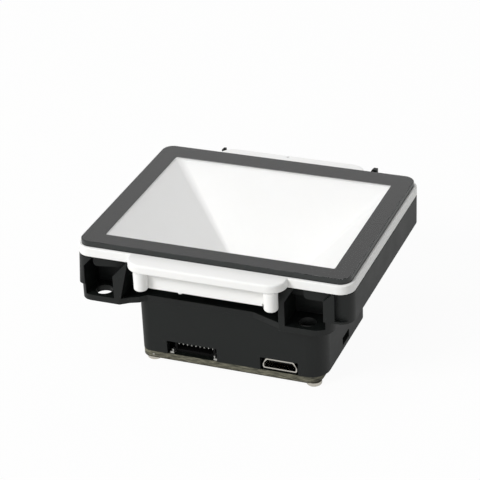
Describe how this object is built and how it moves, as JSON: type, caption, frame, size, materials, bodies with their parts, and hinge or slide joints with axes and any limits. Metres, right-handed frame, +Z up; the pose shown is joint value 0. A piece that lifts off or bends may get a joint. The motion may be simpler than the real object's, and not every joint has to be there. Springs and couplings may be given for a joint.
{
  "type": "fixed-mount code reader module",
  "caption": "Fixed-mount 2-D code reader module: a black-bordered glass window over a white light funnel in a black ear-mounted housing, with lens, lights, circuit board and cable sockets.",
  "frame": {"origin": "under the middle of the window, on the plane that the circuit board's four screw heads rest on", "axes": "+Z up through the window, +X along the window's long side, +Y away from the side with the cable sockets"},
  "size_m": [0.0632, 0.0596, 0.03],
  "materials": {
    "window_glass": "polished float glass",
    "screen_ink": "screen-printed ink under glass",
    "adhesive_tape": "black double-sided tape",
    "white_plastic": "fine satin moulding",
    "black_plastic": "satin moulding",
    "circuit_board": "black solder mask over glass fibre",
    "plated_screws": "nickel plate",
    "nickel_plate": "nickel plate",
    "connector_plastic": "high-temperature moulding",
    "gold_contact": "gold flash",
    "tin_contact": "tin plate",
    "chip_resin": "moulded resin",
    "crystal_can": "plated can",
    "inductor_ferrite": "pressed ferrite",
    "capacitor_ceramic": "fired ceramic with tin ends",
    "buzzer_case": "satin moulding",
    "led_resin": "phosphor resin in a white cup",
    "camera_board": "black solder mask",
    "spacer_brass": "bright brass",
    "sensor_package": "ceramic package",
    "clear_glass": "coated optical glass",
    "filter_glass": "blue-green filter glass",
    "lens_plastic": "fine matt moulding",
    "barrel_metal": "black anodised",
    "flex_film": "amber polyimide film",
    "socket_plastic": "cream moulding",
    "latch_plastic": "black moulding",
    "led_board": "white solder mask",
    "wire_cover": "soft cable cover"
  },
  "bodies": {
    "module": {"window_glass": "window_glass", "border_print": "screen_ink", "window_tape": "adhesive_tape", "light_funnel": "white_plastic", "housing": "black_plastic", "main_board": "circuit_board", "board_screws": "plated_screws", "usb_shell": "nickel_plate", "usb_tongue": "connector_plastic", "usb_contacts": "gold_contact", "wafer_housing": "connector_plastic", "wafer_contacts": "tin_contact", "wafer_tabs": "tin_contact", "processor": "chip_resin", "memory_chip": "chip_resin", "flash_chip": "chip_resin", "crystal": "crystal_can", "power_regulators": "chip_resin", "power_inductors": "inductor_ferrite", "board_capacitors": "capacitor_ceramic", "buzzer": "buzzer_case", "status_led": "led_resin", "camera_board": "camera_board", "camera_spacers": "spacer_brass", "camera_screws": "plated_screws", "image_sensor": "sensor_package", "sensor_glass": "clear_glass", "lens_holder": "lens_plastic", "infrared_filter": "filter_glass", "lens_baffle": "lens_plastic", "camera_flex": "flex_film", "flex_socket": "socket_plastic", "socket_contacts": "gold_contact", "led_board": "led_board", "white_leds": "led_resin", "led_screws": "plated_screws", "led_wires": "wire_cover"},
    "focus_barrel": {"lens_barrel": "barrel_metal", "lens_rear_glass": "clear_glass", "lens_front_glass": "clear_glass", "lens_retainer": "barrel_metal"},
    "latch": {"flex_latch": "latch_plastic"}
  },
  "joints": [
    {"name": "focus_turn", "type": "hinge", "parent": "module", "child": "focus_barrel", "pos_m": [0.0038, -0.0075, 0.012], "axis": [0, 0, 1], "range_deg": [-180, 180]},
    {"name": "latch_flip", "type": "hinge", "parent": "module", "child": "latch", "pos_m": [0.0038, 0.0035, 0.00315], "axis": [-1, 0, 0], "range_deg": [0, 90]}
  ]
}
